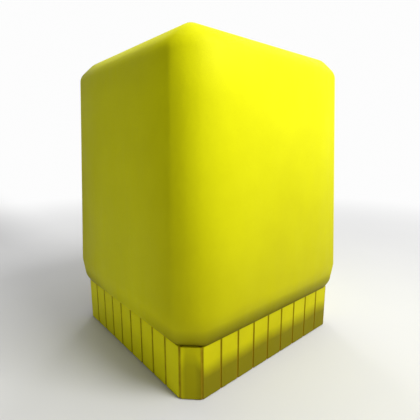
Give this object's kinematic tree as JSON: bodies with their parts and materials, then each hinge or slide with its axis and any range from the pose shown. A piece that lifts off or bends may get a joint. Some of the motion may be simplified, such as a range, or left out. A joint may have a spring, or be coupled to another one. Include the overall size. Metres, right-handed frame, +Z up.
{
  "type": "newspaper vending box",
  "caption": "Square moulded newspaper vending box on a ribbed weighted plinth, with a bottom-hinged window door, coin fittings, latch and lockable cash drawer.",
  "frame": {"origin": "centre of the footprint on the ground, which is the centre of the four anchor holes", "axes": "+Z up, the door faces -Y, +X to the right of someone facing the door"},
  "size_m": [0.5778, 0.5988, 0.76],
  "materials": {
    "yellow_plastic": "fine speckled satin",
    "galvanised_steel": "galvanised",
    "rubber": "matte",
    "concrete": "cast",
    "zinc_fasteners": "zinc plated",
    "black_steel": "fine texture powder coat",
    "stainless_steel": "brushed",
    "chrome": "polished, lightly worn",
    "spring_steel": "drawn wire",
    "clear_plastic": "clear polycarbonate",
    "hook_steel": "yellow passivated",
    "card": "plain card",
    "mechanism_casting": "die cast"
  },
  "bodies": {
    "cabinet": {"casing_shell": "yellow_plastic", "base_skirt": "yellow_plastic", "base_tray": "galvanised_steel", "ballast_strap": "galvanised_steel", "cabinet_floor": "galvanised_steel", "shelf_supports": "galvanised_steel", "coin_vault": "galvanised_steel", "drawer_runners": "galvanised_steel", "latch_bracket": "galvanised_steel", "lock_strike": "galvanised_steel", "coin_chute": "galvanised_steel", "foot_pads": "rubber", "weather_seal": "rubber", "ballast_slabs": "concrete", "strap_bolts": "zinc_fasteners", "tie_bolts": "zinc_fasteners", "tie_nuts": "zinc_fasteners", "support_screws": "zinc_fasteners", "frame_nuts": "zinc_fasteners", "frame_leaf_screws": "zinc_fasteners", "latch_screws": "zinc_fasteners", "latch_pin": "zinc_fasteners", "stay_pins": "zinc_fasteners", "flap_pin": "zinc_fasteners", "front_frame": "black_steel", "paper_shelf": "black_steel", "fascia_plate": "stainless_steel", "hinge_frame_leaf": "stainless_steel", "hinge_pin": "stainless_steel", "frame_screws": "stainless_steel", "fascia_screws": "stainless_steel", "coin_front_screws": "stainless_steel", "coin_cup": "stainless_steel", "coin_slot_plate": "chrome", "card_frame": "chrome", "button_spring": "spring_steel", "latch_spring": "spring_steel", "card_cover": "clear_plastic", "price_card": "card", "coin_mechanism": "mechanism_casting"},
    "door": {"door_frame": "yellow_plastic", "door_window": "clear_plastic", "window_gasket": "rubber", "window_retainer": "black_steel", "retainer_screws": "zinc_fasteners", "display_clips": "spring_steel", "door_handle": "chrome", "door_fasteners": "zinc_fasteners", "door_stays": "black_steel", "hinge_door_leaf": "stainless_steel", "door_leaf_screws": "zinc_fasteners", "latch_keeper": "chrome", "door_springs": "spring_steel"},
    "latch": {"latch_hook": "hook_steel"},
    "return_button": {"return_button": "chrome"},
    "coin_flap": {"coin_flap": "stainless_steel"},
    "cash_drawer": {"cash_drawer": "stainless_steel", "lock_cylinder": "chrome"},
    "lock": {"lock_plug": "chrome", "lock_cam": "hook_steel"}
  },
  "joints": [
    {"name": "door_hinge", "type": "hinge", "parent": "cabinet", "child": "door", "pos_m": [0, -0.28501, 0.21835], "axis": [1, 0, 0], "range_deg": [0, 68], "stiffness_Nm_per_rad": 2.6, "springref_deg": -22.92, "deforming": ["door_springs"]},
    {"name": "latch_pivot", "type": "hinge", "parent": "cabinet", "child": "latch", "pos_m": [0, -0.1823, 0.54182], "axis": [1, 0, 0], "range_deg": [0, 8], "stiffness_Nm_per_rad": 0.3, "springref_deg": -17.19, "deforming": ["latch_spring"]},
    {"name": "return_button_press", "type": "slide", "parent": "cabinet", "child": "return_button", "axis": [0, 0.9991, -0.0421], "range_m": [0, 0.005], "stiffness_N_per_m": 400, "springref_m": -0.003, "deforming": ["button_spring"]},
    {"name": "coin_flap_swing", "type": "hinge", "parent": "cabinet", "child": "coin_flap", "pos_m": [0.12, -0.26247, 0.61075], "axis": [1, 0, 0], "range_deg": [0, 70]},
    {"name": "cash_drawer_slide", "type": "slide", "parent": "cabinet", "child": "cash_drawer", "axis": [0, -0.9991, 0.0421], "range_m": [0, 0.12]},
    {"name": "lock_turn", "type": "hinge", "parent": "cash_drawer", "child": "lock", "pos_m": [-0.1, -0.27186, 0.60164], "axis": [0, -0.9991, 0.0421], "range_deg": [0, 90]}
  ]
}
